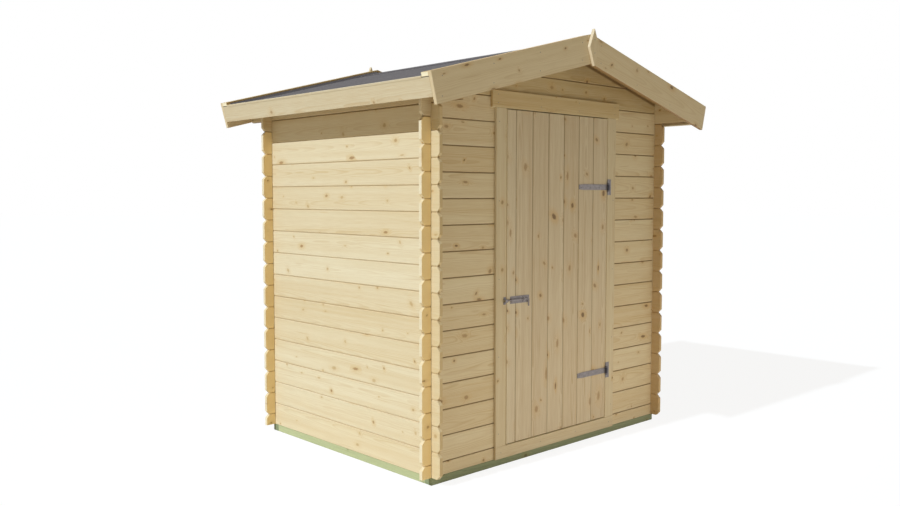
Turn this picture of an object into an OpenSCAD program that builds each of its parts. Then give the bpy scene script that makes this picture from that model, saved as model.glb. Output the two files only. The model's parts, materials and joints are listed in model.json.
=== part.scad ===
// Wooden garden shed of interlocking logs, with a felt roof and a ledged door.
// Millimetres. +Z is up, the door faces -Y, and the origin is on the ground
// under the middle of the walls.

/* [Walls] */
// Width over the outer faces of the side walls
wall_w = 1754; // [1500:2:2200]
// Depth over the outer faces of the front and rear walls
wall_d = 1333; // [1100:1:1800]
// Thickness of a log
log_t = 19; // [16:1:28]
// Height that one log covers
log_h = 121; // [112:1:128]
// Full logs in a side wall
log_count = 14; // [13:1:15]
// How far the log ends stand out past the corners
log_over = 56; // [40:1:75]
// Length of the chamfer on a log end
end_chamfer_l = 18; // [8:1:25]
// Height of the chamfer on a log end
end_chamfer_h = 20; // [12:1:26]
// Chamfer along the edges of a log
edge_chamfer = 4; // [1:0.5:5]
// Thickness of the tongue on top of a log
tongue_t = 6; // [4:0.5:7]
// Height of the tongue on top of a log
tongue_h = 7; // [5:0.5:9]
// Height of the top side log at its outer face
eave_log_h = 109; // [90:1:120]

/* [Bearers] */
// Height of a bearer
bearer_h = 37; // [28:1:60]
// Width of a bearer
bearer_w = 45; // [36:1:70]

/* [Roof] */
// Pitch of the roof in degrees
pitch = 14.75; // [12:0.25:18]
// Overhang of the roof outside the side walls, to the tips of the barge boards
eave_over = 187; // [150:1:260]
// Overhang of the roof in front of the walls, barge boards included
gable_over = 208; // [150:1:260]
// Thickness of the roof boards
roof_board_t = 18; // [15:1:24]
// Width of a roof board
roof_board_w = 121; // [95:1:140]
// Thickness of the roofing felt
felt_t = 2; // [1.5:0.5:4]
// Reach of the ridge strip down each slope
ridge_strip_w = 165; // [120:5:250]
// Height of the eave fascia
fascia_h = 85; // [60:1:110]
// Height of a barge board
barge_h = 140; // [110:1:170]
// Thickness of the barge boards, fascias and finials
trim_t = 18; // [15:1:24]
// Width of a verge batten
batten_w = 45; // [30:1:60]
// Height of a verge batten
batten_h = 20; // [14:1:28]
// Width of the ridge purlin
purlin_w = 45; // [36:1:60]
// Height of the ridge purlin at its middle
purlin_h = 95; // [80:1:110]
// Width of a finial
finial_w = 75; // [60:1:95]
// Height of a finial
finial_h = 183; // [160:1:210]
// How far a finial stands above the ridge of the barge boards
finial_up = 25; // [5:1:40]

/* [Door] */
// Width between the visible edges of the door posts
doorway_w = 800; // [700:2:860]
// Visible width of a door post
post_w = 71; // [60:1:90]
// How far the door frame stands proud of the wall
frame_proud = 13.5; // [10:0.5:20]
// Depth of the groove that takes the log ends
post_groove = 25; // [15:1:30]
// Reach of the door stop behind the leaf
door_stop = 15; // [10:1:25]
// Width of the door head
head_w = 996; // [960:2:1080]
// Height of the door head
head_h = 82; // [66:1:95]
// Height of the door head between the log ends
head_core_h = 52.5; // [40:0.5:60]
// Thickness of the leaf boards
leaf_t = 16; // [14:1:20]
// Gap around the leaf
leaf_gap = 5.5; // [5.5:0.5:9]
// Width of a full leaf board
leaf_board_w = 121; // [90:1:140]
// Width of a door ledge
ledge_w = 95; // [70:1:120]
// Thickness of a door ledge
ledge_t = 18; // [14:1:22]
// Width of a door brace
brace_w = 65; // [50:1:80]

/* [Hinges] */
// Height of the lower hinge above the foot of the leaf
lower_hinge_up = 260; // [150:0.5:350]
// Distance of the upper hinge below the head of the leaf
upper_hinge_down = 367.5; // [150:0.5:450]
// Length of a hinge strap
strap_l = 245; // [180:1:320]
// Width of a hinge strap at the knuckle
strap_w = 30; // [26:1:40]
// Width of a hinge strap at its tip
strap_tip_w = 25; // [16:1:26]
// Length of the tapered tip of a hinge strap
strap_tip_l = 40; // [30:1:70]
// Thickness of the hinge metal
hinge_t = 2.5; // [2:0.5:4]
// Height of a hinge plate
hinge_plate_h = 85; // [70:1:110]
// Width of a hinge plate
hinge_plate_w = 30; // [24:1:40]
// Outer diameter of a hinge knuckle
knuckle_d = 15; // [12:0.5:18]
// Height of each knuckle of the hinge plate
lug_h = 8; // [5:1:15]
// Diameter of a hinge pin
pin_d = 7; // [4:0.5:8]

/* [Bolt] */
// Height of the bolt above the foot of the leaf
bolt_up = 708; // [600:0.5:800]
// Length of the bolt plate
bolt_plate_l = 137; // [115:1:150]
// Height of the bolt plate
bolt_plate_h = 36; // [30:1:44]
// Distance of the bolt plate from the edge of the leaf
bolt_inset = 22; // [18:1:40]
// Thickness of the bolt metal
bolt_t = 2; // [1.5:0.5:3]
// Diameter of the bolt rod
rod_d = 7; // [6:0.5:10]
// Travel of the bolt rod
bolt_throw = 20; // [16:1:24]
// Reach of the bent handle below the rod
handle_l = 36; // [28:1:50]
// Distance of the handle from the end of the plate when the rod is drawn back
handle_inset = 9; // [5:1:12]
// Length of the long cover over the rod
cover_l = 70; // [55:1:80]
// Length of the short guide near the handle
guide_l = 12; // [8:1:16]
// Length of the keeper along the rod
keeper_l = 17; // [15:1:30]

/* [Hidden] */

$fn = 48;

// Clearances: between seated pieces, between logs, round a pin or the rod
fit = 0.2;
log_gap = 0.3;
groove_play = 0.5;
pin_play = 0.3;
rod_play = 0.4;
knuckle_play = 0.5;
keeper_play = 4;
rod_clear = 6;
handle_clear = 6;
keeper_set = 3;
// Overshoot of a cutting shape
over = 5;

// Walls
half_w = wall_w / 2;
half_d = wall_d / 2;
side_reach = half_d + log_over;
front_reach = half_w + log_over;
half_log = log_h / 2;
neck = log_h / 4;
wall_top = bearer_h + log_count * log_h;
sill_top = bearer_h + half_log;
gable_foot = sill_top + log_count * log_h;

// Roof: the apex is where the undersides of the two slopes meet
eave_z = wall_top + eave_log_h;
apex_z = eave_z + half_w * tan(pitch);
felt_v = roof_board_t + felt_t;
barge_v = felt_v + batten_h;
barge_face = half_d + gable_over;
verge = barge_face - trim_t;
slope_l = (half_w + eave_over - barge_v * sin(pitch)) / cos(pitch);
eave_u = slope_l - trim_t;

// Door frame and leaf
frame_half = doorway_w / 2 + post_w;
post_in = doorway_w / 2;
stop_in = post_in - door_stop;
log_end = frame_half - post_groove + fit;
frame_front = half_d + frame_proud;
frame_back = half_d - log_t - frame_proud;
leaf_back = frame_front - leaf_t;
stop_front = leaf_back - leaf_gap;
head_z = gable_foot - head_core_h;
leaf_half = post_in - leaf_gap;
leaf_z0 = sill_top + leaf_gap;
leaf_z1 = head_z - leaf_gap;
ledge_half = stop_in - leaf_gap;
lower_hinge_z = leaf_z0 + lower_hinge_up;
upper_hinge_z = leaf_z1 - upper_hinge_down;
middle_ledge_z = (lower_hinge_z + upper_hinge_z) / 2;

// Hinges: the pin stands in the gap beside the leaf, in front of its face
hinge_x = post_in - leaf_gap / 2;
hinge_y = frame_front + fit + knuckle_d / 2;

// Bolt: the rod runs in guides on the plate, and at rest is drawn back
bolt_z = leaf_z0 + bolt_up;
plate_x0 = -leaf_half + bolt_inset;
plate_x1 = plate_x0 + bolt_plate_l;
guide_d = rod_d + 2 * rod_play + 2 * bolt_t;
rod_y = frame_front + bolt_t + guide_d / 2;
keeper_x = -post_in - keeper_set;
rod_tip = keeper_x + rod_clear;
handle_x = plate_x1 - handle_inset;
guide_x = handle_x - bolt_throw - rod_d / 2 - handle_clear - guide_l;
keeper_slot = rod_d + keeper_play;

module log_profile(z0, z1, groove, tongue) {
    // Cross-section of a log: x is the depth from the outer face, y is the height
    ta = (log_t - tongue_t) / 2;
    tb = (log_t + tongue_t) / 2;
    foot = groove ? edge_chamfer : 0;
    crown = edge_chamfer;
    difference() {
        union() {
            polygon([
                [foot, z0], [0, z0 + foot], [0, z1 - crown], [crown, z1],
                [log_t - crown, z1], [log_t, z1 - crown], [log_t, z0 + foot], [log_t - foot, z0]
            ]);
            if (tongue) translate([ta, z1 - fit]) square([tongue_t, tongue_h + fit]);
        }
        if (groove) translate([ta - groove_play, z0 - over])
            square([tongue_t + 2 * groove_play, over + tongue_h + groove_play]);
    }
}

module log_outline(a, b, z0, z1, cut_a, cut_b, foot) {
    // Side view of a log from a to b, with its outer end corners chamfered
    crown = z1 + tongue_h;
    slant = end_chamfer_l / end_chamfer_h;
    ca = cut_a ? end_chamfer_l : 0;
    cb = cut_b ? end_chamfer_l : 0;
    ta = cut_a ? slant * (end_chamfer_h + tongue_h) : 0;
    tb = cut_b ? slant * (end_chamfer_h + tongue_h) : 0;
    fa = foot ? ca : 0;
    fb = foot ? cb : 0;
    f = foot ? end_chamfer_h : 0;
    polygon([
        [a + fa, z0], [a, z0 + f], [a, z1 - end_chamfer_h], [a + ta, crown],
        [b - tb, crown], [b, z1 - end_chamfer_h], [b, z0 + f], [b - fb, z0]
    ]);
}

module corner_notches(c, z0, z1, low, high) {
    // Saddles that leave half the height of a log where another wall crosses it
    w = log_t + 2 * fit;
    if (low) translate([c - w / 2, -over, z0 - over]) cube([w, log_t + 2 * over, over + neck + fit]);
    if (high) translate([c - w / 2, -over, z1 - neck - fit])
        cube([w, log_t + 2 * over, neck + fit + tongue_h + over]);
}

module one_log(a, b, z0, z1, cut_a, cut_b, groove, tongue, corners, saddled) {
    // One log along X with its outer face at y = 0, saddled below where it crosses a log
    lo = z0 + log_gap / 2;
    hi = z1 - log_gap / 2;
    difference() {
        intersection() {
            translate([a - over, 0, 0]) rotate([90, 0, 90])
                linear_extrude(b - a + 2 * over) log_profile(lo, hi, groove, tongue);
            translate([0, log_t + over, 0]) rotate([90, 0, 0])
                linear_extrude(log_t + 2 * over) log_outline(a, b, lo, hi, cut_a, cut_b, saddled);
        }
        for (c = corners) corner_notches(c, z0, z1, saddled, true);
    }
}

module at_front() { translate([0, -half_d, 0]) children(); }
module at_rear() { mirror([0, 1, 0]) at_front() children(); }
module at_right() { translate([half_w, 0, 0]) rotate([0, 0, 90]) children(); }
module at_left() { mirror([1, 0, 0]) at_right() children(); }

module side_wall() {
    c = half_d - log_t / 2;
    for (k = [0 : log_count - 1]) {
        z = bearer_h + k * log_h;
        one_log(-side_reach, side_reach, z, z + log_h, true, true, k > 0, true, [-c, c], true);
    }
}

module bottom_half_log(tongue) {
    c = half_w - log_t / 2;
    one_log(-front_reach, front_reach, bearer_h, sill_top, true, true, false, tongue, [-c, c], false);
}

module front_course(k, a, b, cut_a, cut_b, corners) {
    z = sill_top + k * log_h;
    one_log(a, b, z, z + log_h, cut_a, cut_b, true, true, corners, true);
}

module under_roof() {
    // The space under both slopes, less the seating clearance
    lift = fit / cos(pitch);
    drop = 2 * half_w * tan(pitch);
    rotate([90, 0, 0]) linear_extrude(wall_d * 2, center = true)
        polygon([
            [0, apex_z - lift], [2 * half_w, apex_z - lift - drop], [2 * half_w, 0],
            [-2 * half_w, 0], [-2 * half_w, apex_z - lift - drop]
        ]);
}

module gable_wall() {
    // Logs above the eaves, cut to the slopes and let in round the ridge purlin
    reach = half_w - log_t - fit;
    courses = ceil((apex_z - gable_foot) / log_h);
    intersection() {
        difference() {
            at_front() for (k = [0 : courses - 1])
                front_course(log_count + k, -reach, reach, false, false, []);
            translate([-purlin_w / 2 - fit, -wall_d, apex_z - purlin_h - fit])
                cube([purlin_w + 2 * fit, 2 * wall_d, purlin_h + over]);
        }
        under_roof();
    }
}

module slope(side) {
    // Right-hand slope: x runs down the slope, z stands square to the underside
    mirror([side < 0 ? 1 : 0, 0, 0]) translate([0, 0, apex_z]) rotate([0, pitch, 0]) children();
}

module slope_slab(u0, u1, v0, v1, y0, y1) {
    // A slab on the slope, cut upright on the ridge line where u0 is the ridge
    lean = tan(pitch);
    ridge = u0 == 0;
    a0 = ridge ? fit - v0 * lean : u0;
    a1 = ridge ? fit - v1 * lean : u0;
    translate([0, y1, 0]) rotate([90, 0, 0]) linear_extrude(y1 - y0)
        polygon([[a0, v0], [u1, v0], [u1, v1], [a1, v1]]);
}

module roof_boards(side) {
    // Boards from the ridge to the eave, with a vee along each joint underneath
    count = round(2 * verge / roof_board_w);
    w = 2 * verge / count;
    slope(side) for (i = [0 : count - 1]) {
        y0 = -verge + i * w + log_gap / 2;
        y1 = y0 + w - log_gap;
        intersection() {
            slope_slab(0, eave_u, fit, roof_board_t - fit, y0, y1);
            rotate([90, 0, 90]) translate([0, 0, -slope_l]) linear_extrude(3 * slope_l)
                polygon([
                    [y0 + edge_chamfer, fit], [y1 - edge_chamfer, fit], [y1, fit + edge_chamfer],
                    [y1, roof_board_t], [y0, roof_board_t], [y0, fit + edge_chamfer]
                ]);
        }
    }
}

module roof_felt(side) {
    slope(side) slope_slab(0, slope_l, roof_board_t, felt_v - fit, -verge + fit, verge - fit);
}

module fascia(side) {
    slope(side) slope_slab(eave_u + fit, slope_l, roof_board_t - fascia_h, roof_board_t - fit,
        -verge + fit, verge - fit);
}

module barge(side, face) {
    y0 = face < 0 ? -barge_face : verge;
    slope(side) slope_slab(0, slope_l, barge_v - barge_h, barge_v, y0, y0 + trim_t);
}

module batten(side, face) {
    y0 = face < 0 ? -verge + fit : verge - fit - batten_w;
    slope(side) slope_slab(0, slope_l, felt_v, barge_v, y0, y0 + batten_w);
}

// A point on the right-hand slope, u down from the ridge and v above the underside
function on_slope(u, v) = [u * cos(pitch) + v * sin(pitch), apex_z + v * cos(pitch) - u * sin(pitch)];
function flipped(p) = [-p[0], p[1]];

module ridge_strip() {
    reach = verge - batten_w - 2 * fit;
    low = on_slope(ridge_strip_w, felt_v);
    high = on_slope(ridge_strip_w, felt_v + felt_t);
    rotate([90, 0, 0]) linear_extrude(2 * reach, center = true)
        polygon([
            low, high, [0, apex_z + (felt_v + felt_t) / cos(pitch)], flipped(high),
            flipped(low), [0, apex_z + felt_v / cos(pitch)]
        ]);
}

module eave_purlin() {
    // The top side log, run out to the barge boards and bevelled to the slope
    reach = verge - fit;
    hi = eave_z + log_t * tan(pitch);
    c = half_d - log_t / 2;
    intersection() {
        at_right() difference() {
            one_log(-reach, reach, wall_top, hi + tongue_h, false, false, true, false, [], false);
            for (s = [-c, c]) corner_notches(s, wall_top, hi, true, false);
        }
        under_roof();
    }
}

module finial() {
    top = apex_z + barge_v / cos(pitch) + finial_up;
    mid = top - finial_h / 2;
    translate([0, -barge_face - fit, 0]) rotate([90, 0, 0]) linear_extrude(trim_t)
        polygon([[0, top], [finial_w / 2, mid], [0, top - finial_h], [-finial_w / 2, mid]]);
}

module door_post() {
    // Grooved over the log ends on one edge and rebated for the leaf on the other
    g0 = half_d + fit;
    g1 = half_d - log_t - fit;
    gx = frame_half - post_groove;
    translate([0, 0, sill_top + fit]) linear_extrude(head_z - sill_top - 2 * fit)
        polygon([
            [post_in, -frame_front], [frame_half, -frame_front], [frame_half, -g0], [gx, -g0],
            [gx, -g1], [frame_half, -g1], [frame_half, -frame_back], [stop_in, -frame_back],
            [stop_in, -stop_front], [post_in, -stop_front]
        ]);
}

module plank(x0, x1, y0, y1, z0, z1) { translate([x0, y0, z0]) cube([x1 - x0, y1 - y0, z1 - z0]); }

module leaf_board(x0, x1, vee0, vee1) {
    // Upright leaf board with a vee along each edge that meets another board
    a = x0 + log_gap / 2;
    b = x1 - log_gap / 2;
    translate([0, 0, leaf_z0]) linear_extrude(leaf_z1 - leaf_z0)
        polygon([
            [a, -leaf_back], [b, -leaf_back],
            if (vee1) [b, edge_chamfer - frame_front],
            [vee1 ? b - edge_chamfer : b, -frame_front],
            [vee0 ? a + edge_chamfer : a, -frame_front],
            if (vee0) [a, edge_chamfer - frame_front]
        ]);
}

module brace(z0, z1) {
    // Slanting board between two ledges, rising away from the hinges
    w = brace_w / sin(atan2(z1 - z0, 2 * ledge_half));
    translate([0, -leaf_back + ledge_t + fit, 0]) rotate([90, 0, 0]) linear_extrude(ledge_t)
        polygon([
            [ledge_half, z0], [ledge_half - w, z0], [-ledge_half, z1], [-ledge_half + w, z1]
        ]);
}

module hinge_strap(z) {
    // Tapered strap on the leaf, rolled round the pin at its wide end
    bore = pin_d + 2 * pin_play;
    y1 = -frame_front - fit;
    difference() {
        union() {
            translate([0, y1, z]) rotate([90, 0, 0]) linear_extrude(hinge_t) polygon([
                [hinge_x, strap_w / 2],
                [hinge_x - strap_l + strap_tip_l, strap_w / 2],
                [hinge_x - strap_l, strap_tip_w / 2], [hinge_x - strap_l, -strap_tip_w / 2],
                [hinge_x - strap_l + strap_tip_l, -strap_w / 2],
                [hinge_x, -strap_w / 2]
            ]);
            translate([hinge_x, -hinge_y, z - strap_w / 2]) cylinder(d = knuckle_d, h = strap_w);
        }
        translate([hinge_x, -hinge_y, z - strap_w]) cylinder(d = bore, h = 2 * strap_w);
    }
}

module hinge_plate(z) {
    // Plate on the post, with a knuckle above and below the strap, and the pin
    h = hinge_plate_h / 2;
    gap = strap_w / 2 + knuckle_play;
    lug = gap + lug_h;
    y1 = -frame_front - fit;
    difference() {
        union() {
            plank(hinge_x, hinge_x + hinge_plate_w, y1 - hinge_t, y1, z - h, z + h);
            translate([hinge_x, -hinge_y, z - lug]) cylinder(d = knuckle_d, h = 2 * lug);
        }
        translate([hinge_x - knuckle_d, -hinge_y - knuckle_d, z - gap])
            cube([1.5 * knuckle_d + knuckle_play, 2 * knuckle_d, 2 * gap]);
    }
    translate([hinge_x, -hinge_y, z - lug]) cylinder(d = pin_d, h = 2 * lug);
}

module guide(x, l) {
    // Round-backed guide for the rod, standing on the plate
    translate([x, -rod_y, bolt_z]) rotate([0, 90, 0]) cylinder(d = guide_d, h = l);
    plank(x, x + l, -rod_y, -frame_front - fit, bolt_z - guide_d / 2, bolt_z + guide_d / 2);
}

module front_bearer() {
    color("darkolivegreen") plank(-half_w, half_w, -half_d, -half_d + bearer_w, 0, bearer_h - fit);
}
module rear_bearer() { color("darkolivegreen") mirror([0, 1, 0]) front_bearer(); }
module right_bearer() {
    y = half_d - bearer_w - fit;
    color("darkolivegreen") plank(half_w - bearer_w, half_w, -y, y, 0, bearer_h - fit);
}
module left_bearer() { color("darkolivegreen") mirror([1, 0, 0]) right_bearer(); }
module right_wall_logs() { color("burlywood") at_right() side_wall(); }
module left_wall_logs() { color("burlywood") at_left() side_wall(); }
module rear_wall_logs() {
    c = half_w - log_t / 2;
    color("burlywood") at_rear() {
        bottom_half_log(true);
        for (k = [0 : log_count - 1]) front_course(k, -front_reach, front_reach, true, true, [-c, c]);
    }
}
module front_logs_right() {
    c = half_w - log_t / 2;
    color("burlywood") at_front() for (k = [0 : log_count - 1])
        front_course(k, log_end, front_reach, false, true, [c]);
}
module front_logs_left() { color("burlywood") mirror([1, 0, 0]) front_logs_right(); }
module front_sill_log() {
    // Bottom half log, with no tongue under the door frame
    y0 = (log_t - tongue_t) / 2;
    z1 = sill_top - log_gap / 2;
    color("burlywood") at_front() {
        bottom_half_log(false);
        for (side = [0, 1]) mirror([side, 0, 0])
            plank(frame_half + fit, half_w - log_t - fit, y0, y0 + tongue_t, z1 - fit, z1 + tongue_h);
    }
}
module front_gable_logs() { color("burlywood") gable_wall(); }
module rear_gable_logs() { color("burlywood") mirror([0, 1, 0]) gable_wall(); }
module right_eave_purlin() { color("burlywood") eave_purlin(); }
module left_eave_purlin() { color("burlywood") mirror([1, 0, 0]) eave_purlin(); }
module ridge_purlin() {
    color("burlywood") intersection() {
        plank(-purlin_w / 2, purlin_w / 2, -verge + fit, verge - fit, apex_z - purlin_h, apex_z);
        under_roof();
    }
}
module left_roof_boards() { color("tan") roof_boards(-1); }
module right_roof_boards() { color("tan") roof_boards(1); }
module left_roof_felt() { color("dimgray") roof_felt(-1); }
module right_roof_felt() { color("dimgray") roof_felt(1); }
module ridge_felt() { color("dimgray") ridge_strip(); }
module left_fascia() { color("wheat") fascia(-1); }
module right_fascia() { color("wheat") fascia(1); }
module front_left_barge() { color("wheat") barge(-1, -1); }
module front_right_barge() { color("wheat") barge(1, -1); }
module rear_left_barge() { color("wheat") barge(-1, 1); }
module rear_right_barge() { color("wheat") barge(1, 1); }
module front_left_batten() { color("wheat") batten(-1, -1); }
module front_right_batten() { color("wheat") batten(1, -1); }
module rear_left_batten() { color("wheat") batten(-1, 1); }
module rear_right_batten() { color("wheat") batten(1, 1); }
module front_finial() { color("wheat") finial(); }
module rear_finial() { color("wheat") mirror([0, 1, 0]) finial(); }
module right_door_post() { color("wheat") door_post(); }
module left_door_post() { color("wheat") mirror([1, 0, 0]) door_post(); }
module door_head() {
    // Head of the frame between the log ends, with its face lapped over the wall
    color("wheat") {
        plank(-log_end + 2 * fit, log_end - 2 * fit, -half_d - fit, -frame_back, head_z, gable_foot - fit);
        plank(-head_w / 2, head_w / 2, -frame_front, -half_d - fit, head_z, head_z + head_h);
    }
}
module door_sill_board() {
    color("wheat") plank(-frame_half, frame_half, -frame_front, -half_d - fit, bearer_h, sill_top);
}
module door_leaf() {
    // Full boards from the hinge edge, and what is left over on the bolt edge
    count = ceil(2 * leaf_half / leaf_board_w);
    color("burlywood") for (i = [0 : count - 1]) {
        x1 = leaf_half - i * leaf_board_w;
        leaf_board(max(x1 - leaf_board_w, -leaf_half), x1, i < count - 1, i > 0);
    }
}
module door_ledges() {
    y0 = -leaf_back + fit;
    color("tan") {
        for (z = [lower_hinge_z, middle_ledge_z, upper_hinge_z])
            plank(-ledge_half, ledge_half, y0, y0 + ledge_t, z - ledge_w / 2, z + ledge_w / 2);
        brace(lower_hinge_z + ledge_w / 2 + fit, middle_ledge_z - ledge_w / 2 - fit);
        brace(middle_ledge_z + ledge_w / 2 + fit, upper_hinge_z - ledge_w / 2 - fit);
    }
}
module upper_hinge_strap() { color("silver") hinge_strap(upper_hinge_z); }
module lower_hinge_strap() { color("silver") hinge_strap(lower_hinge_z); }
module upper_hinge_plate() { color("silver") hinge_plate(upper_hinge_z); }
module lower_hinge_plate() { color("silver") hinge_plate(lower_hinge_z); }
module bolt_plate() {
    color("silver") difference() {
        union() {
            plank(plate_x0, plate_x1, -frame_front - fit - bolt_t, -frame_front - fit,
                bolt_z - bolt_plate_h / 2, bolt_z + bolt_plate_h / 2);
            guide(plate_x0, cover_l);
            guide(guide_x, guide_l);
        }
        translate([plate_x0 - over, -rod_y, bolt_z]) rotate([0, 90, 0])
            cylinder(d = rod_d + 2 * rod_play, h = bolt_plate_l + 2 * over);
    }
}
module bolt_rod() {
    color("silver") {
        translate([rod_tip, -rod_y, bolt_z]) rotate([0, 90, 0]) cylinder(d = rod_d, h = handle_x - rod_tip);
        translate([handle_x, -rod_y, bolt_z]) sphere(d = rod_d);
        translate([handle_x, -rod_y, bolt_z - handle_l]) cylinder(d = rod_d, h = handle_l);
    }
}
module bolt_keeper() {
    // Flat strap bent over the end of the rod, with a foot above and below
    y1 = -frame_front - fit;
    y0 = -rod_y - keeper_slot / 2;
    s = keeper_slot / 2;
    foot = bolt_plate_h / 2;
    color("silver") translate([keeper_x, 0, bolt_z]) rotate([0, -90, 0]) linear_extrude(keeper_l)
        polygon([
            [-foot, y1], [-s, y1], [-s, y0], [s, y0], [s, y1], [foot, y1],
            [foot, y1 - bolt_t], [s + bolt_t, y1 - bolt_t], [s + bolt_t, y0 - bolt_t],
            [-s - bolt_t, y0 - bolt_t], [-s - bolt_t, y1 - bolt_t], [-foot, y1 - bolt_t]
        ]);
}

front_bearer();
rear_bearer();
left_bearer();
right_bearer();
left_wall_logs();
right_wall_logs();
rear_wall_logs();
front_logs_left();
front_logs_right();
front_sill_log();
front_gable_logs();
rear_gable_logs();
left_eave_purlin();
right_eave_purlin();
ridge_purlin();
left_roof_boards();
right_roof_boards();
left_roof_felt();
right_roof_felt();
ridge_felt();
left_fascia();
right_fascia();
front_left_barge();
front_right_barge();
rear_left_barge();
rear_right_barge();
front_left_batten();
front_right_batten();
rear_left_batten();
rear_right_batten();
front_finial();
rear_finial();
left_door_post();
right_door_post();
door_head();
door_sill_board();
door_leaf();
door_ledges();
upper_hinge_strap();
lower_hinge_strap();
upper_hinge_plate();
lower_hinge_plate();
bolt_plate();
bolt_rod();
bolt_keeper();
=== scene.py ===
# %% [markdown]
# # A small log shed in raw pine
#
# The shed is a box of interlocking logs under a shallow felted roof, with a ledged door in front.
# Its solids come packed from the CAD model, at their real size, and none of them is moved here.
# This lesson gives each of them the finish of the real thing, adds the fasteners and some thin trim,
# and lights the result. Each step says what the real thing is before it makes it.

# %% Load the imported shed
import json
import math
from collections import namedtuple

import bmesh
import bpy
from mathutils import Matrix, Vector


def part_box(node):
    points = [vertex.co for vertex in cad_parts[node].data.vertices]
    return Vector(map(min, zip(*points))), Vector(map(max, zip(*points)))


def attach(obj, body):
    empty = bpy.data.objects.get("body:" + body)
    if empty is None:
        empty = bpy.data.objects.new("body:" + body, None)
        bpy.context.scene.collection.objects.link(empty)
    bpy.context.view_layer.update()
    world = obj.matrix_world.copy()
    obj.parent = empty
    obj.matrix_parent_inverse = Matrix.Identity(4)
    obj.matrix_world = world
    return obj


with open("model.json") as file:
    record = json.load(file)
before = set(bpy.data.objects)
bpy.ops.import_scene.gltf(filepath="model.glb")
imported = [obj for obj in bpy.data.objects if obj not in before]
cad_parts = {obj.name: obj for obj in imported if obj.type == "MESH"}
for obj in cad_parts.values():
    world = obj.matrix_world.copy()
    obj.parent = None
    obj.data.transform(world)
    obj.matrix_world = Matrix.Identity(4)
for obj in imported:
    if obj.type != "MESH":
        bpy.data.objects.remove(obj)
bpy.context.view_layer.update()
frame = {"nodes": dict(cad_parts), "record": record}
nodes = frame["nodes"]

# %% [markdown]
# ## The camera
#
# The shed is seen from off its front left corner, from about chest height, with a slightly wide lens.
# A camera could be nudged by eye until the corners fit. Here its place, turn and lens were fitted
# to the log joints and roof edges instead, so the perspective is right over the whole picture.

# %% Stand the camera off the front left corner
camera_place = (-3.502, -3.591, 1.319)
camera_dip = math.radians(3.7115)
camera_turn = math.radians(-43.1437)
camera_lens_mm = 35.17

scene = bpy.context.scene
camera = bpy.data.objects.new("camera", bpy.data.cameras.new("camera"))
camera.location = camera_place
camera.rotation_euler = (math.pi / 2 - camera_dip, 0, camera_turn)
camera.data.lens = camera_lens_mm
scene.collection.objects.link(camera)
scene.camera = camera
scene.view_settings.view_transform = "Standard"
print(f"camera {camera.location.length:.2f} m from the foot of the shed")

# %% [markdown]
# ## Shader sums in plain Python
#
# A finish is a sum of small patterns: rings, streaks, knots. Built node by node in the editor such a sum
# is hard to read. This class wraps one socket, so that `rings * 0.3 + streaks` adds the Math nodes itself.
# Values go through Math nodes. Vectors go through Vector Math and colours through Mix,
# because a Math node would turn a colour grey. Every other node comes from the one method `make`.

# %% Wrap a socket
class Wire:
    """One shader socket that can stand in a Python sum."""

    def __init__(self, socket):
        self.socket = socket
        self.tree = socket.id_data

    @classmethod
    def make(cls, tree, kind, settings=None, sockets=None, output=0):
        """Add a node: its settings first, then the values or links of its sockets."""
        node = tree.nodes.new("ShaderNode" + kind)
        for name, value in (settings or {}).items():
            setattr(node, name, value)
        for key, value in (sockets or {}).items():
            if isinstance(value, Wire):
                tree.links.new(value.socket, node.inputs[key])
            else:
                node.inputs[key].default_value = value
        return cls(node.outputs[output]) if node.outputs else None

    def other(self, output):
        """Another output of the node that this socket belongs to."""
        return Wire(self.socket.node.outputs[output])

    def math(self, operation, *terms):
        """Add a Math node for this value and some other terms."""
        return Wire.make(self.tree, "Math", {"operation": operation}, dict(enumerate((self, *terms))))

    def flipped(self, operation, term):
        """The same with the plain number first, as in 1 - mask."""
        return Wire.make(self.tree, "Math", {"operation": operation}, {0: term, 1: self})

    def __add__(self, term):
        return self.math("ADD", term)

    def __sub__(self, term):
        return self.math("SUBTRACT", term)

    def __rsub__(self, term):
        return self.flipped("SUBTRACT", term)

    def __mul__(self, term):
        return self.math("MULTIPLY", term)

    def __truediv__(self, term):
        return self.math("DIVIDE", term)

    def __rtruediv__(self, term):
        return self.flipped("DIVIDE", term)

    def __pow__(self, term):
        return self.math("POWER", term)

    def __rpow__(self, term):
        return self.flipped("POWER", term)

    def __gt__(self, term):
        return self.math("GREATER_THAN", term)

    def __lt__(self, term):
        return self.math("LESS_THAN", term)

    __radd__ = __add__
    __rmul__ = __mul__

    def positive(self):
        """The value, or 0 where it is below 0."""
        return self.math("MAXIMUM", 0.0)

    def rise(self, low, high):
        """0 below low, 1 above high, and a smooth step between them; low may be the greater."""
        return Wire.make(self.tree, "MapRange", {"interpolation_type": "SMOOTHSTEP"},
                         {"Value": self, "From Min": low, "From Max": high})

    def dot(self, direction):
        """How far a place vector reaches along a direction."""
        return Wire.make(self.tree, "VectorMath", {"operation": "DOT_PRODUCT"},
                         {0: self, 1: direction}, "Value")

    def parts(self):
        """The three parts of a vector or colour."""
        first = Wire.make(self.tree, "SeparateXYZ", None, {0: self})
        return first, first.other(1), first.other(2)


print("shader sums ready")

# %% [markdown]
# ## Colours and empty materials
#
# Colours are easiest to judge as a picture editor shows them, from 0 to 255. Blender sums light, so it wants
# them linear: `paint` undoes the curve that screens use. `blend` lays one colour over another, as a stain
# lies over wood, and `new_material` gives a material without nodes, because each finish draws its own.

# %% Mix colours and start materials
full_level = 255
curve_knee = 0.04045
curve_slope = 12.92
curve_lift = 0.055
curve_power = 2.4
white = (1, 1, 1, 1)
below_input, above_input, colour_output = 6, 7, 2


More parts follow.
